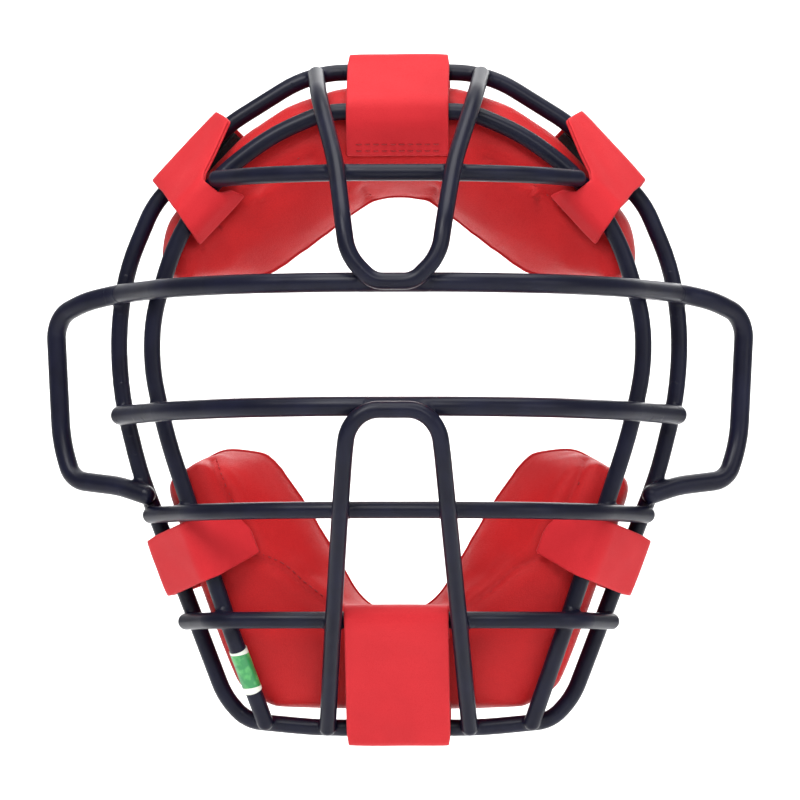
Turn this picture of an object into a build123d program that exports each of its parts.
"""A baseball catcher's mask: a welded, vinyl-dipped wire cage, two leather pads and six tabs.

Millimetres. +X is the wearer's left, +Z is up and the front of the mask faces -Y. The origin is
the middle of the eye gap's height, in the plane of the outer ring's wire. "Reach" is how far a
wire's centre stands in front of that plane, so reach d lies at y = -d.
"""
from build123d import *
import os
from math import asin, atan2, cos, degrees, radians, sin, tan

os.makedirs("parts", exist_ok=True)

# ---- Driving dimensions -------------------------------------------------------------------
# Wire
wire_r = 3.15            # dipped wire
eye_wire_r = 3.65        # the two thicker eye bars
dip = 0.5                # vinyl coat on the steel, so crossing wires weld two coats deep
weld = 2 * dip

# Outer ring, planar, in the plane y = 0
ring_half_width = 105.8
ring_top = 102.8
ring_bottom = 143.8      # below the origin
# Corners of the right half, top to bottom: share of half width, share of top or bottom, blend
ring_corners = [
    (0.311, 1.000, 13), (0.6115, 0.806, 6.4), (0.874, 0.514, 6.4), (0.970, 0.276, 11),
    (1.000, 0.039, 11), (0.986, -0.139, 11), (0.919, -0.337, 8), (0.618, -0.918, 5.5),
    (0.539, -0.982, 5.5), (0.284, -1.000, 8),
]
upper_tab_run = 1        # index of the corner where the upper side tab's straight run starts
lower_tab_run = 6        # and the lower side tab's

# Inner ring, planar to the feet
inner_reach = 22.0
ring_side_gap, ring_top_gap = 14.0, 16.6     # from the outer ring's wire to the inner ring's
inner_half_width = ring_half_width - ring_side_gap
inner_top = ring_top - ring_top_gap
inner_bottom = ring_bottom - 57.0   # what the lower corners' heights are shares of
inner_corners = [
    (0.294, 1.000, 7), (0.517, 0.897, 10), (0.741, 0.713, 11), (0.904, 0.441, 12),
    (0.998, 0.104, 9), (1.000, -0.116, 9), (0.940, -0.406, 12),
]
foot_bend_rise = 33.8    # the feet bend back this far above the ring's bottom
foot_inset = 7.0         # from the ring's last side corner to the foot

# Bars: height, reach of the middle
brow_height, brow_reach = 60.8, 58.0
eye_top_height, eye_top_reach = 19.0, 78.0
eye_bottom_height, eye_bottom_reach = -26.6, 80.0
cheek_height, cheek_reach = -64.1, 66.0
chin_rise, chin_reach = 39.8, 34.0   # the chin bar's height above the ring's bottom
chin_height = chin_rise - ring_bottom

# Ear loops, at the ends of the upper eye bar
loop_width = 24.4        # from the ring's widest point out to the loop
loop_half_width = ring_half_width + loop_width
loop_back = 12.0         # how far the loop swings behind the ring's plane
loop_top_height, loop_bottom_height = 11.0, -50.5

# Centre bars: half widths at the outer ring and where the bow starts, and the bow's radius
upper_leg_top, upper_leg_bottom, upper_bow = 31.0, 16.8, 16.0
lower_leg_top, lower_leg_bottom, lower_bow = 16.8, 26.6, 11.5
leg_over = 2 * wire_r - weld
brow_bend_sag, cheek_bend_sag = 1.1, 0.8    # how far a bent leg's arc cuts inside its corner
lower_bow_drop = 1.5     # the lower bow hangs this far under the middle of its eye bar

# Pads
pad_inset = 5.4          # from the ring's wire centre to the pad's side
pad_clear = 0.55         # between the pad's front and the inner ring's wire
pad_front = inner_reach - wire_r - pad_clear
pad_shoulder = 6.0
pad_waist = -7.0         # where the rear bevel starts
pad_back = -18.0
front_round = 5.0
bevel_run = 13.1
leather = 1.4
seam_reach = -7.0        # where cover and lining are sewn together

# Tabs
tab = 2.2                # two layers of leather
wrap_room = 1.45         # between the wire and the tab that wraps it, for the patches
tab_wrap_r = wire_r + wrap_room
tab_clear = 0.4
hinge_gap = 0.6
bevel_angle = 50.0       # where the wrap leaves the ring to lie on the pad's bevel
flap_length = 25.0
patch = 1.2              # hook patch and loop patch
patch_gap = 0.3
patch_start = 6.5
patch_length = 16.0
patch_margin = 1.5
top_tab_width, bottom_tab_width = 38.0, 38.6
upper_tab_width, lower_tab_width = 36.5, 23.0
top_root, upper_root, lower_root = -33.0, -24.5, -32.0     # where each is sewn to its pad
upper_root_near, upper_root_far = -1.9, 24.0
notch = 7.0              # how deep the upper side tab is cut back round the brow bar's end
plateau_back, plateau_front = 4.6, 3.4   # how far a tab runs level over the inner ring
upper_plateau_back = 6.4                 # further on the upper side tab, whose wire slants
upper_crossing_drop, lower_crossing_drop = -9.5, 5.0
upper_tab_shift = -3.75                  # from the middle of the ring's straight run
lower_tab_along = 35.6
tab_spread = 6.5
chin_sewn = 12.0         # length of the bottom tab that is sewn down behind the chin bar

# Label band on one foot of the inner ring
band_length, band_thick = 18.0, 0.35
band_drop = 5.5          # from the bend at the top of the foot


# ---- Paths and sections -------------------------------------------------------------------
def at(x, z, reach=0.0):
    """A point at reach d in front of the ring's plane."""
    return Vector(x, -reach, z)


def bent_path(points, blends):
    """Straight runs joined by tangent arcs.

    Each blend is the length that an arc takes off its runs, within half of the shorter one.
    """
    radii = []
    for before, corner, after, blend in zip(points, points[1:], points[2:], blends):
        run_in, run_out = corner - before, after - corner
        held = min(blend, 0.495 * min(run_in.length, run_out.length))
        radii.append(held / tan(radians(run_in.get_angle(run_out) / 2)))
    with BuildLine() as path:
        FilletPolyline(*points, radius=radii)
    return path.line


def round_section(path, radius):
    with BuildSketch(Plane(origin=path @ 0, z_dir=path % 0)) as section:
        Circle(radius)
    return section.sketch


def shape_points(corners, half_width, top, bottom, reach=0.0):
    return [
        at(x * half_width, z * (top if z > 0 else bottom), reach) for x, z, blend in corners
    ]


def first_past(path, reached):
    """The point where a path starts to meet a condition, found by halving."""
    low, high = 0.0, 1.0
    for halving in range(40):
        middle = (low + high) / 2
        if reached(path @ middle):
            high = middle
        else:
            low = middle
    return path @ low


def where_height(path, height):
    """The point of a half ring, which runs from top to bottom, at one height."""
    return first_past(path, lambda point: point.Z <= height)


def where_x(path, x):
    """The point of a half bar, which runs from its middle outwards, at one distance across."""
    return first_past(path, lambda point: point.X >= x)


# ---- Rings --------------------------------------------------------------------------------
ring_points = shape_points(ring_corners, ring_half_width, ring_top, ring_bottom)
ring_path = bent_path(
    [at(0, ring_top)] + ring_points + [at(0, -ring_bottom)],
    [blend for x, z, blend in ring_corners],
)
with BuildPart() as outer_ring:
    sweep(round_section(ring_path, wire_r), path=ring_path)
    mirror(about=Plane.YZ)

foot_reach = 2 * wire_r - weld
inner_points = shape_points(
    inner_corners, inner_half_width, inner_top, inner_bottom, inner_reach
)
foot_x = ring_points[-2].X - foot_inset
foot_bend_height = foot_bend_rise - ring_bottom
foot_slope = (inner_points[-1].X - foot_x) / (inner_points[-1].Z + ring_bottom)
foot_bend = at(
    inner_points[-1].X - foot_slope * (inner_points[-1].Z - foot_bend_height),
    foot_bend_height,
    inner_reach,
)
foot_end = at(foot_x, -ring_bottom + 2.0, foot_reach)
inner_path = bent_path(
    [at(0, inner_top, inner_reach)] + inner_points + [foot_bend, foot_end],
    [blend for x, z, blend in inner_corners] + [5],
)
with BuildPart() as inner_ring:
    sweep(round_section(inner_path, wire_r), path=inner_path)
    with Locations(inner_path @ 1):
        Sphere(wire_r)
    mirror(about=Plane.YZ)


# ---- Bars ---------------------------------------------------------------------------------
def bar_points(height, reach, radius, rise=0.0):
    """Right half of a bar: from the middle, round over the inner ring, to the outer ring."""
    ring = where_height(ring_path, height)
    inner = where_height(inner_path, height)
    over = radius + wire_r - weld
    end = ring + at(over * 0.33, 0, over * 0.94)
    to_inner = inner - end
    lean = Vector(-0.48, -0.877, 0)
    shoulder = end + lean * (to_inner.length + (reach - inner_reach) * 0.36)
    knee = at(shoulder.X * 0.69, height + rise, reach - (reach + shoulder.Y) * 0.31)
    brow = at(knee.X * 0.41, height + rise, reach)
    return [at(0, height + rise, reach), brow, knee, shoulder, end]


def end_ball(path, radius):
    """Where a wire's cut end is dipped round."""
    with BuildPart() as ball:
        with Locations(path @ 1):
            Sphere(radius)
    return ball.part


brow_end = where_height(inner_path, brow_height)
brow_path = bent_path(
    [
        at(0, brow_height, brow_reach),
        at(brow_end.X * 0.32, brow_height, brow_reach),
        at(brow_end.X * 0.74, brow_height, brow_reach - (brow_reach - inner_reach) * 0.33),
        brow_end + at(0, 0, leg_over),
    ],
    [12, 14],
)
with BuildPart() as brow_bar:
    sweep(round_section(brow_path, wire_r), path=brow_path)
    add(end_ball(brow_path, wire_r))
    mirror(about=Plane.YZ)

lower_eye_path = bent_path(
    bar_points(eye_bottom_height, eye_bottom_reach, eye_wire_r), [14, 14, 10]
)
with BuildPart() as lower_eye_bar:
    sweep(round_section(lower_eye_path, eye_wire_r), path=lower_eye_path)
    add(end_ball(lower_eye_path, eye_wire_r))
    mirror(about=Plane.YZ)

cheek_path = bent_path(bar_points(cheek_height, cheek_reach, wire_r), [12, 12, 8])
with BuildPart() as cheek_bar:
    sweep(round_section(cheek_path, wire_r), path=cheek_path)
    add(end_ball(cheek_path, wire_r))
    mirror(about=Plane.YZ)

chin_ring = where_height(ring_path, chin_height)
chin_path = bent_path(
    [
        at(0, chin_height, chin_reach),
        at(chin_ring.X * 0.56, chin_height, chin_reach),
        at(chin_ring.X * 0.886, chin_height, chin_reach * 0.797),
        chin_ring + at(3.6, 0, leg_over * 0.86),
    ],
    [10, 7],
)
with BuildPart() as chin_bar:
    sweep(round_section(chin_path, wire_r), path=chin_path)
    add(end_ball(chin_path, wire_r))
    mirror(about=Plane.YZ)

# The upper eye bar runs on past the rings and back to the outer ring as an ear loop
eye_points = bar_points(eye_top_height, eye_top_reach, eye_wire_r)
loop_over = eye_wire_r + wire_r - weld
loop_root = where_height(ring_path, loop_bottom_height - 4.0)
loop_points = [
    at((eye_points[-1].X + loop_half_width) / 2, eye_top_height - 2.5, 0),
    at(loop_half_width, loop_top_height, -loop_back),
    at(loop_half_width - 2.4, loop_bottom_height + 14.5, -loop_back),
    at(loop_half_width - 7.0, loop_bottom_height, -loop_back * 0.6),
    loop_root + at(10.0, 1.5, 1.0),
    loop_root + at(0.0, -2.0, loop_over),
]
upper_eye_path = bent_path(
    eye_points + loop_points, [14, 14, 10, 5, 5.5, 8.5, 9, 5.5, 4]
)
with BuildPart() as upper_eye_bar:
    sweep(round_section(upper_eye_path, eye_wire_r), path=upper_eye_path)
    add(end_ball(upper_eye_path, eye_wire_r))
    mirror(about=Plane.YZ)

# Centre bars, in front of the bars they cross
over_eye = eye_wire_r + wire_r - dip
over_brow = leg_over + brow_bend_sag
over_cheek = leg_over + cheek_bend_sag
brow_crossing = where_x(brow_path, upper_leg_bottom + 5.0)
cheek_crossing = where_x(cheek_path, lower_leg_top + 3.2)
upper_bow_side = upper_bow * tan(radians(22.5))     # of the half octagon that the bow rounds
lower_bow_side = lower_bow * tan(radians(22.5))
upper_centre_path = bent_path(
    [
        at(0, eye_top_height, eye_top_reach + over_eye),
        at(
            upper_leg_bottom - upper_bow + upper_bow_side, eye_top_height,
            eye_top_reach + over_eye,
        ),
        at(
            upper_leg_bottom, eye_top_height + upper_bow - upper_bow_side,
            eye_top_reach + over_eye,
        ),
        at(
            upper_leg_bottom + 1.8, eye_top_height + upper_bow + upper_bow_side,
            eye_top_reach + over_eye - 2.6,
        ),
        brow_crossing + at(0, leg_over * 0.6, over_brow * 0.8),
        at(upper_leg_top - 2.0, ring_top - 12, wire_r + inner_reach + 6.0),
        at(upper_leg_top, ring_top - 1.3, leg_over),
    ],
    [upper_bow_side, upper_bow_side, 6.5, 9, 9],
)
with BuildPart() as upper_centre_bar:
    sweep(round_section(upper_centre_path, wire_r), path=upper_centre_path)
    add(end_ball(upper_centre_path, wire_r))
    mirror(about=Plane.YZ)

lower_centre_path = bent_path(
    [
        at(0, eye_bottom_height - lower_bow_drop, eye_bottom_reach + over_eye),
        at(
            lower_leg_top - lower_bow + lower_bow_side, eye_bottom_height - lower_bow_drop,
            eye_bottom_reach + over_eye,
        ),
        at(
            lower_leg_top, eye_bottom_height - lower_bow_drop - lower_bow + lower_bow_side,
            eye_bottom_reach + over_eye,
        ),
        at(
            lower_leg_top + 1.2, eye_bottom_height - lower_bow_drop - lower_bow - lower_bow_side,
            eye_bottom_reach + over_eye - 2.8,
        ),
        cheek_crossing + at(0, -leg_over * 0.5, over_cheek * 0.87),
        at(lower_leg_bottom - 3.0, chin_height - leg_over * 0.64, chin_reach + leg_over * 0.8),
        at(lower_leg_bottom, -ring_bottom, leg_over),
    ],
    [lower_bow_side, lower_bow_side, 4.5, 8, 8],
)
with BuildPart() as lower_centre_bar:
    sweep(round_section(lower_centre_path, wire_r), path=lower_centre_path)
    add(end_ball(lower_centre_path, wire_r))
    mirror(about=Plane.YZ)

foot_run = foot_end - foot_bend
band_start = foot_bend + foot_run.normalized() * band_drop
with BuildPart() as label_band:
    with BuildSketch(Plane(origin=band_start, z_dir=foot_run)):
        Circle(wire_r + band_thick)
        Circle(wire_r + 0.02, mode=Mode.SUBTRACT)
    extrude(amount=band_length)
    mirror(about=Plane.YZ, mode=Mode.REPLACE)

# ---- Pads ---------------------------------------------------------------------------------
# A pad is lofted through its front, shoulder, waist and back. Each station is a place along the
# ring (share of the half ring's length), the inner edge there (shares of the ring's half width
# and of its top or bottom) and where the front ridge lies between the two.
forehead_middle = (0.0, 0.0, 0.513, 0.62)
forehead_stations = [
    (0.059, 0.090, 0.508, 0.60), (0.125, 0.162, 0.456, 0.51), (0.180, 0.246, 0.397, 0.44),
    (0.225, 0.331, 0.340, 0.39), (0.265, 0.397, 0.300, 0.35), (0.305, 0.444, 0.268, 0.31),
    (0.340, 0.491, 0.255, 0.30), (0.368, 0.560, 0.251, 0.30),
]
forehead_tucks = (2.5, 8.0)     # the last stations' outer sides turn in, to round the ends
jaw_middle = (1.0, 0.0, -0.686, 0.88)
jaw_stations = [
    (0.872, 0.057, -0.684, 0.88), (0.815, 0.100, -0.670, 0.86), (0.775, 0.140, -0.635, 0.76),
    (0.735, 0.195, -0.570, 0.62), (0.700, 0.255, -0.500, 0.52), (0.665, 0.330, -0.415, 0.50),
    (0.635, 0.410, -0.335, 0.52), (0.612, 0.475, -0.283, 0.50), (0.590, 0.620, -0.262, 0.45),
]
jaw_tucks = (0.0, 0.0)


def station_points(station, skin, tuck):
    """Where one station meets the pad's front, shoulder, waist and back: outer and inner side."""
    share, inner_x, inner_z, ridge = station
    ring = ring_path @ share
    tangent = ring_path % share
    inward = Vector(tangent.Z, 0, -tangent.X)
    outer = ring + inward * (pad_inset + tuck)
    inner = at(inner_x * ring_half_width, inner_z * (ring_top if inner_z > 0 else ring_bottom))
    across = (inner - outer).normalized()
    width = (inner - outer).length
    outer = outer + inward * skin
    inner = inner - across * skin
    crest = outer + across * width * ridge
    shoulder = crest + (inner - crest) * (pad_front - pad_shoulder) / (pad_front - pad_waist)
    return [
        (outer + inward * front_round, crest),
        (outer, shoulder),
        (outer, inner),
        (outer + inward * bevel_run, inner - across * 2.0),
    ]


def pad_sections(stations, middle, tucks, skin=0.0):
    """The four closed outlines that a pad is lofted through, shrunk by skin on every side."""
    every_tuck = [0.0] * (1 + len(stations) - len(tucks)) + list(tucks)
    half_stations = [
        station_points(station, skin, tuck)
        for station, tuck in zip([middle] + stations, every_tuck)
    ]
    ends = [half_stations[-1][1][0], half_stations[-2][1][0]]
    end_skin = (ends[1] - ends[0]).normalized() * skin
    half_stations[-1] = [
        (outer + end_skin, inner + end_skin) for outer, inner in half_stations[-1]
    ]
    sections = []
    for level, reach in enumerate(
        [pad_front - skin, pad_shoulder, pad_waist, pad_back + skin]
    ):
        half = [station[level][0] for station in half_stations]
        half += [station[level][1] for station in reversed(half_stations)]
        other = [Vector(-point.X, 0, point.Z) for point in reversed(half[1:-1])]
        outline = [Vector(point.X, -reach, point.Z) for point in half + other]
        sections.append(Face(Wire.make_polygon(outline, close=True)))
    return sections


seam_plane = Plane(origin=(0, -seam_reach, 0), x_dir=(1, 0, 0), z_dir=(0, -1, 0))

with BuildPart() as forehead_pad_core:
    loft(pad_sections(forehead_stations, forehead_middle, forehead_tucks, leather), ruled=True)

with BuildPart() as forehead_pad_cover:
    loft(pad_sections(forehead_stations, forehead_middle, forehead_tucks), ruled=True)
    add(forehead_pad_core.part, mode=Mode.SUBTRACT)
    split(bisect_by=seam_plane, keep=Keep.TOP)

with BuildPart() as forehead_pad_lining:
    loft(pad_sections(forehead_stations, forehead_middle, forehead_tucks), ruled=True)
    add(forehead_pad_core.part, mode=Mode.SUBTRACT)
    split(bisect_by=seam_plane, keep=Keep.BOTTOM)

# The chin is cut back parallel to the inner ring's feet, which pass in front of it
foot_line = foot_bend - foot_end
chin_normal = Vector(0, -foot_line.Z, foot_line.Y).normalized()
chin_clear = wire_r + band_thick + tab_clear


def chin_plane(skin=0.0):
    return Plane(
        origin=foot_end - chin_normal * (chin_clear + skin), x_dir=(1, 0, 0), z_dir=chin_normal
    )


with BuildPart() as jaw_pad_core:
    loft(pad_sections(jaw_stations, jaw_middle, jaw_tucks, leather), ruled=True)
    split(bisect_by=chin_plane(leather), keep=Keep.BOTTOM)

with BuildPart() as jaw_pad_cover:
    loft(pad_sections(jaw_stations, jaw_middle, jaw_tucks), ruled=True)
    split(bisect_by=chin_plane(), keep=Keep.BOTTOM)
    add(jaw_pad_core.part, mode=Mode.SUBTRACT)
    split(bisect_by=seam_plane, keep=Keep.TOP)

with BuildPart() as jaw_pad_lining:
    loft(pad_sections(jaw_stations, jaw_middle, jaw_tucks), ruled=True)
    split(bisect_by=chin_plane(), keep=Keep.BOTTOM)
    add(jaw_pad_core.part, mode=Mode.SUBTRACT)
    split(bisect_by=seam_plane, keep=Keep.BOTTOM)


# ---- Tabs ---------------------------------------------------------------------------------
# A tab's profile is drawn across the ring's wire: x outward from the wire's centre, y forward.
tab_mid_r = tab_wrap_r + tab / 2
strap_lift = tab_clear + tab / 2
hinge_turn = degrees(asin(hinge_gap / tab_mid_r))
wrap_straight = 1.8


def run_plane(corner, along):
    """The profile plane at a distance along the ring's straight run after a corner."""
    start, end = ring_points[corner], ring_points[corner + 1]
    direction = (end - start).normalized()
    outward = Vector(-direction.Z, 0, direction.X)
    return Plane(origin=start + direction * along, x_dir=outward, z_dir=direction)


def wrap_end():
    """The last two points of a strap: down the ring's outer side, short of the hinge line."""
    return [Vector(tab_mid_r, hinge_gap + wrap_straight, 0), Vector(tab_mid_r, hinge_gap, 0)]


def front_route(plane, root, drop, back=plateau_back):
    """From the pad's front, over the inner ring and down to the outer ring's outer side."""
    wire = where_height(inner_path, plane.origin.Z + drop)
    crossing = (wire - plane.origin).dot(plane.x_dir)
    top = inner_reach + wire_r + strap_lift
    return [
        Vector(root, pad_front + strap_lift, 0),
        Vector(crossing - back, top, 0),
        Vector(crossing + plateau_front, top, 0),
    ] + wrap_end()


def chin_route():
    """Up the jaw pad's front, over the chin bar and down to the ring's outer side."""
    outer = wrap_end()[0]
    to_bar = Vector(chin_bar_inset, chin_reach, 0) - outer
    slope = atan2(to_bar.Y, to_bar.X) - asin(chin_wrap_r / to_bar.length)
    corner_x = chin_bar_inset - chin_wrap_r
    corner = Vector(corner_x, outer.Y + (corner_x - outer.X) * tan(slope), 0)
    sewn = pad_front + strap_lift
    return [
        Vector(corner_x + chin_sewn, sewn, 0), Vector(corner_x, sewn, 0), corner
    ] + wrap_end()


def strap_face(plane, route, blends):
    """A strap's profile: a band of the tab's thickness along a bent route."""
    path = bent_path(route, blends)
    with BuildSketch(plane) as face:
        trace(path, tab)
    return face.sketch


def flap_face(plane):
    """Round the ring's rear, then straight along the pad's bevel."""
    with BuildLine() as path:
        wrap = CenterArc((0, 0), tab_mid_r, -hinge_turn, hinge_turn - bevel_angle)
        Line(wrap @ 1, wrap @ 1 + (wrap % 1) * flap_length)
    with BuildSketch(plane) as face:
        trace(path.line, tab)
    return face.sketch


def patch_face(plane, height):
    """A patch along the bevel, its mid thickness at a height above the ring's centre line."""
    along = patch_start + patch_length / 2
    turn = radians(bevel_angle)
    centre = (
        height * cos(turn) - along * sin(turn),
        -height * sin(turn) - along * cos(turn),
    )
    with BuildSketch(plane) as face:
        with Locations(centre):
            Rectangle(patch_length, patch, rotation=90 - bevel_angle)
    return face.sketch


def slanted_outline(plane, half_width, near, far, root):
    """A side tab seen from the front, slanted, and notched round the brow bar's end."""
    front = Plane(origin=plane.origin, x_dir=plane.z_dir, z_dir=(0, -1, 0))
    outside = 3 * tab_mid_r
    with BuildSketch(front) as outline:
        with BuildLine():
            Polyline(
                (-half_width, outside), (half_width, outside), (half_width, 0),
                (far, root - tab), (near, root - tab), (near + 2.6, root * 0.80),
                (near + notch, root * 0.66), (near + notch, root * 0.40),
                (near + 0.6 * notch, root * 0.32), (near - 0.5 * notch, root * 0.23),
                (-half_width, -0.5), close=True,
            )
        make_face()
    return outline.sketch


top_plane = Plane(origin=at(0, ring_top), x_dir=(0, 0, 1), z_dir=(1, 0, 0))
bottom_plane = Plane(origin=at(0, -ring_bottom), x_dir=(0, 0, -1), z_dir=(-1, 0, 0))
upper_run = (ring_points[upper_tab_run + 1] - ring_points[upper_tab_run]).length
upper_plane = run_plane(upper_tab_run, upper_run / 2 + upper_tab_shift)
lower_plane = run_plane(lower_tab_run, lower_tab_along)
chin_bar_inset = -ring_bottom - chin_height
chin_wrap_r = wire_r + strap_lift
chin_points = chin_route()
chin_turn = (chin_points[2] - chin_points[1]).get_angle(chin_points[3] - chin_points[2])
chin_blend = chin_wrap_r * tan(radians(chin_turn / 2))

over_ring = [3.0, 3.0, 1.5]
front_faces = {
    "top": strap_face(top_plane, front_route(top_plane, top_root, inner_top - ring_top), over_ring),
    "bottom": strap_face(bottom_plane, chin_points, [4.0, chin_blend, 1.5]),
    "upper_side": strap_face(
        upper_plane,
        front_route(upper_plane, upper_root, upper_crossing_drop, upper_plateau_back),
        over_ring,
    ),
    "lower_side": strap_face(
        lower_plane, front_route(lower_plane, lower_root, lower_crossing_drop), over_ring
    ),
}
planes = {
    "top": top_plane, "bottom": bottom_plane,
    "upper_side": upper_plane, "lower_side": lower_plane,
}
widths = {
    "top": top_tab_width, "bottom": bottom_tab_width,
    "upper_side": upper_tab_width, "lower_side": lower_tab_width,
}
upper_outline = slanted_outline(
    upper_plane, upper_tab_width / 2, upper_root_near, upper_root_far, upper_root
)

pieces = {}
for name, plane in planes.items():
    width = widths[name]

    with BuildPart() as tab_front:
        extrude(front_faces[name], amount=width / 2 + tab_spread * (name == "upper_side"), both=True)
        if name == "upper_side":
            extrude(upper_outline, amount=inner_reach * 2, both=True, mode=Mode.INTERSECT)

    with BuildPart() as tab_flap:
        extrude(flap_face(plane), amount=width / 2, both=True)

    with BuildPart() as hook_patch:
        extrude(
            patch_face(plane, tab_wrap_r - patch / 2), amount=width / 2 - patch_margin, both=True
        )

    with BuildPart() as loop_patch:
        extrude(
            patch_face(plane, tab_wrap_r - patch * 1.5 - patch_gap),
            amount=width / 2 - patch_margin,
            both=True,
        )

    pieces[name + "_tab_front"] = tab_front.part
    pieces[name + "_tab_flap"] = tab_flap.part
    pieces[name + "_hook_patch"] = hook_patch.part
    pieces[name + "_loop_patch"] = loop_patch.part

# The side tabs are a pair of mirror images
for name in [piece for piece in pieces if "side" in piece]:
    left = pieces.pop(name)
    with BuildPart() as right:
        add(left)
        mirror(about=Plane.YZ, mode=Mode.REPLACE)
    pieces[name.replace("side", "left")] = left
    pieces[name.replace("side", "right")] = right.part

# ---- Export -------------------------------------------------------------------------------
pieces.update(
    outer_ring=outer_ring.part,
    inner_ring=inner_ring.part,
    brow_bar=brow_bar.part,
    upper_eye_bar=upper_eye_bar.part,
    lower_eye_bar=lower_eye_bar.part,
    cheek_bar=cheek_bar.part,
    chin_bar=chin_bar.part,
    upper_centre_bar=upper_centre_bar.part,
    lower_centre_bar=lower_centre_bar.part,
    label_band=label_band.part,
    forehead_pad_core=forehead_pad_core.part,
    forehead_pad_cover=forehead_pad_cover.part,
    forehead_pad_lining=forehead_pad_lining.part,
    jaw_pad_core=jaw_pad_core.part,
    jaw_pad_cover=jaw_pad_cover.part,
    jaw_pad_lining=jaw_pad_lining.part,
)
for name, piece in pieces.items():
    piece.label = name
    export_step(piece, f"parts/{name}.step")
